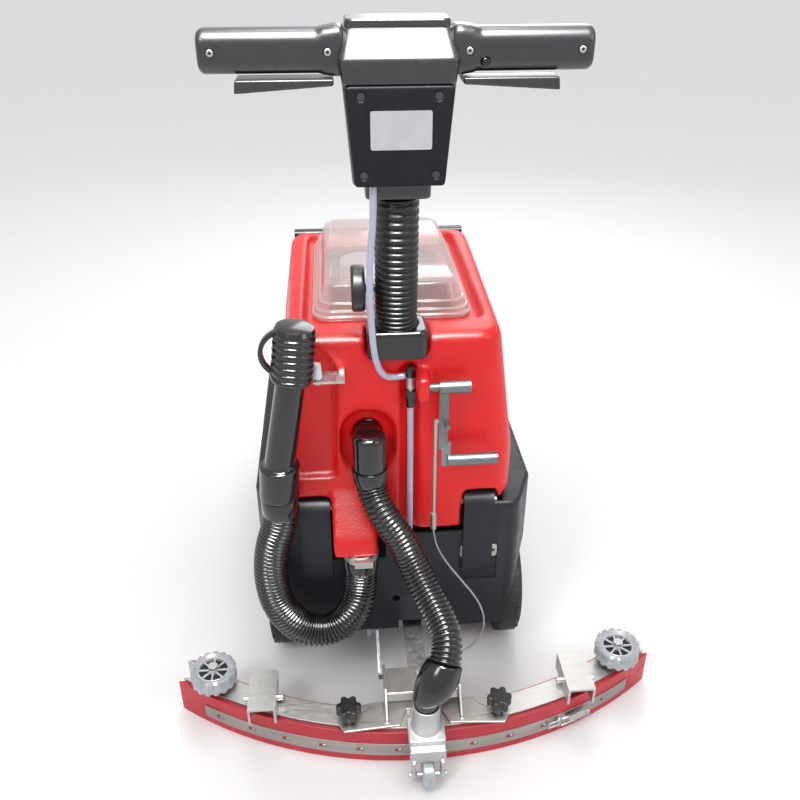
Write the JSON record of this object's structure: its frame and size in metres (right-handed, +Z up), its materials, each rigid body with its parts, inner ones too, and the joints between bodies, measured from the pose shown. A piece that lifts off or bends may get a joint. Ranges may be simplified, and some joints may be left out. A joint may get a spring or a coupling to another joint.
{
  "type": "walk-behind floor scrubber",
  "caption": "Walk-behind scrubber-dryer with red tank, clear dome lid, T-handle, disc brush and curved rear squeegee with hoses.",
  "frame": {"origin": "on the floor, on the middle plane of the body, 254 mm ahead of the base's rear wall", "axes": "+Z up, +Y the way it drives, +X to the operator's right"},
  "size_m": [0.836, 1.052, 1.1223],
  "materials": {
    "base_plastic": "fine moulded grain",
    "steel": "brushed stainless",
    "battery_case": "moulded case",
    "dark_metal": "satin paint",
    "tyre_rubber": "rubber",
    "grey_wheel": "polyurethane",
    "bristle": "nylon bristle",
    "black_rubber": "gloss rubber",
    "zinc": "zinc plated",
    "red_tank": "rotomoulded, orange peel",
    "white_plastic": "moulded",
    "clear_lid": "clear, faint red tint",
    "black_plastic": "moulded",
    "handle_plastic": "spark-eroded grain",
    "clear_hose": "translucent vinyl",
    "aluminium": "satin",
    "cast_aluminium": "cast, bead blasted",
    "red_rubber": "polyurethane"
  },
  "bodies": {
    "base": {"base_housing": "base_plastic", "chassis_frame": "steel", "batteries": "battery_case", "drive_unit": "dark_metal", "rear_plates": "zinc", "hinge_bolts": "zinc"},
    "wheel_left": {"drive_wheel_left": "tyre_rubber"},
    "wheel_right": {"drive_wheel_right": "tyre_rubber"},
    "castor_swivel": {"castor_fork": "steel"},
    "castor_roll": {"castor_wheel": "grey_wheel"},
    "deck": {"brush_deck": "base_plastic", "brush_motor": "dark_metal", "splash_skirt": "black_rubber"},
    "brush": {"disc_brush": "bristle"},
    "pedal": {"deck_pedal": "zinc"},
    "tank": {"tank_shell": "red_tank", "suction_motor": "dark_metal", "float_filter": "white_plastic", "front_bar": "black_plastic", "column_foot": "black_plastic", "suction_port": "black_rubber", "drain_clamp": "steel", "tank_fittings": "zinc", "level_hose": "clear_hose", "drain_pipe": "black_rubber", "drain_hose": "black_rubber", "sensor_hose": "clear_hose", "suction_hose": "black_rubber"},
    "lid": {"dome_lid": "clear_lid"},
    "cap": {"drain_cap": "black_rubber"},
    "lever": {"squeegee_lever": "zinc"},
    "rod": {"pull_rod": "steel"},
    "handle": {"column_tube": "steel", "bellows": "black_rubber", "handle_housing": "handle_plastic", "cover_plate": "handle_plastic", "housing_lid": "handle_plastic", "grips": "handle_plastic", "handle_screws": "zinc"},
    "clamp_knob": {"tilt_knob": "black_plastic"},
    "key": {"key_switch": "steel"},
    "horn": {"horn_button": "black_rubber"},
    "paddle_left": {"trigger_left": "handle_plastic"},
    "paddle_right": {"trigger_right": "handle_plastic"},
    "arm": {"squeegee_arm": "zinc", "lift_rope": "steel"},
    "squeegee": {"mount_bracket": "zinc", "squeegee_body": "aluminium", "front_blade": "red_rubber", "rear_blade": "red_rubber", "tension_strap": "steel", "support_brackets": "aluminium", "nozzle": "cast_aluminium", "nozzle_elbow": "black_rubber"},
    "latch": {"strap_latch": "steel"},
    "star_left": {"star_knob_left": "black_plastic"},
    "star_right": {"star_knob_right": "black_plastic"},
    "guide_left": {"roller_left": "grey_wheel"},
    "guide_right": {"roller_right": "grey_wheel"},
    "tail_wheel": {"squeegee_castor_wheel": "grey_wheel"}
  },
  "joints": [
    {"name": "wheel_left_spin", "type": "hinge", "parent": "base", "child": "wheel_left", "pos_m": [-0.21, -0.13, 0.115], "axis": [1, 0, 0], "continuous": true},
    {"name": "wheel_right_spin", "type": "hinge", "parent": "base", "child": "wheel_right", "pos_m": [0.21, -0.13, 0.115], "axis": [1, 0, 0], "continuous": true},
    {"name": "castor_swivel_turn", "type": "hinge", "parent": "base", "child": "castor_swivel", "pos_m": [0, 0.448, 0.111], "axis": [0, 0, 1], "continuous": true},
    {"name": "castor_spin", "type": "hinge", "parent": "castor_swivel", "child": "castor_roll", "pos_m": [0, 0.426, 0.033], "axis": [1, 0, 0], "continuous": true},
    {"name": "deck_lift", "type": "slide", "parent": "base", "child": "deck", "axis": [0, 0, 1], "range_m": [0, 0.034]},
    {"name": "brush_spin", "type": "hinge", "parent": "deck", "child": "brush", "pos_m": [0, 0.155, 0.04], "axis": [0, 0, 1], "continuous": true},
    {"name": "deck_pedal_press", "type": "hinge", "parent": "base", "child": "pedal", "pos_m": [0, -0.24, 0.09], "axis": [1, 0, 0], "range_deg": [0, 22]},
    {"name": "tank_tilt", "type": "hinge", "parent": "base", "child": "tank", "pos_m": [0, -0.236, 0.366], "axis": [1, 0, 0], "range_deg": [0, 35], "deforming": ["suction_hose", "drain_hose"]},
    {"name": "lid_lift_off", "type": "slide", "parent": "tank", "child": "lid", "axis": [0, 0, 1], "range_m": [0, 0.12]},
    {"name": "drain_cap_pull", "type": "slide", "parent": "tank", "child": "cap", "axis": [0, 0, 1], "range_m": [0, 0.04]},
    {"name": "squeegee_lever_swing", "type": "hinge", "parent": "tank", "child": "lever", "pos_m": [0, -0.288, 0.617], "axis": [-1, 0, 0], "range_deg": [0, 75], "deforming": ["lift_rope"]},
    {"name": "pull_rod_rise", "type": "slide", "parent": "tank", "child": "rod", "axis": [0, 0, 1], "range_m": [0, 0.018]},
    {"name": "handle_tilt", "type": "hinge", "parent": "tank", "child": "handle", "pos_m": [0, -0.24, 0.76], "axis": [1, 0, 0], "range_deg": [-10, 20], "deforming": ["bellows", "sensor_hose"]},
    {"name": "tilt_knob_turn", "type": "hinge", "parent": "handle", "child": "clamp_knob", "pos_m": [-0.05, -0.24, 0.76], "axis": [1, 0, 0], "continuous": true},
    {"name": "key_turn", "type": "hinge", "parent": "handle", "child": "key", "pos_m": [0.044, -0.206, 1.066], "axis": [0, 1, 0], "range_deg": [0, 90]},
    {"name": "horn_press", "type": "slide", "parent": "handle", "child": "horn", "axis": [0, 1, 0], "range_m": [0, 0.002], "stiffness_N_per_m": 400},
    {"name": "paddle_left_squeeze", "type": "hinge", "parent": "handle", "child": "paddle_left", "pos_m": [-0.14, -0.254, 1.052], "axis": [-1, 0, 0], "range_deg": [0, 5], "stiffness_Nm_per_rad": 2},
    {"name": "paddle_right_squeeze", "type": "hinge", "parent": "handle", "child": "paddle_right", "pos_m": [0.14, -0.254, 1.052], "axis": [-1, 0, 0], "range_deg": [0, 5], "stiffness_Nm_per_rad": 2},
    {"name": "squeegee_lift", "type": "hinge", "parent": "base", "child": "arm", "pos_m": [0.028, -0.205, 0.087], "axis": [-1, 0, 0], "range_deg": [0, 8]},
    {"name": "squeegee_swing", "type": "hinge", "parent": "arm", "child": "squeegee", "pos_m": [0.028, -0.372, 0.105], "axis": [0, 0, 1], "range_deg": [-10, 10]},
    {"name": "strap_latch_open", "type": "hinge", "parent": "squeegee", "child": "latch", "pos_m": [0.26366, -0.42785, 0.03], "axis": [0, 0, -1], "range_deg": [0, 95]},
    {"name": "star_left_turn", "type": "hinge", "parent": "squeegee", "child": "star_left", "pos_m": [-0.094, -0.437, 0.09], "axis": [0, 0, 1], "continuous": true},
    {"name": "star_right_turn", "type": "hinge", "parent": "squeegee", "child": "star_right", "pos_m": [0.154, -0.437, 0.09], "axis": [0, 0, 1], "continuous": true},
    {"name": "guide_left_spin", "type": "hinge", "parent": "squeegee", "child": "guide_left", "pos_m": [-0.322, -0.34043, 0.102], "axis": [0, 0, 1], "continuous": true},
    {"name": "guide_right_spin", "type": "hinge", "parent": "squeegee", "child": "guide_right", "pos_m": [0.382, -0.34043, 0.102], "axis": [0, 0, 1], "continuous": true},
    {"name": "tail_wheel_spin", "type": "hinge", "parent": "squeegee", "child": "tail_wheel", "pos_m": [0.03, -0.507, 0.025], "axis": [1, 0, 0], "continuous": true}
  ],
  "couplings": [
    {"joint": "deck_pedal_press", "follows": "deck_lift", "rad_per_m": 11.1},
    {"joint": "squeegee_lift", "follows": "squeegee_lever_swing", "ratio": 0.1},
    {"joint": "pull_rod_rise", "follows": "squeegee_lever_swing", "m_per_rad": 0.0127}
  ]
}
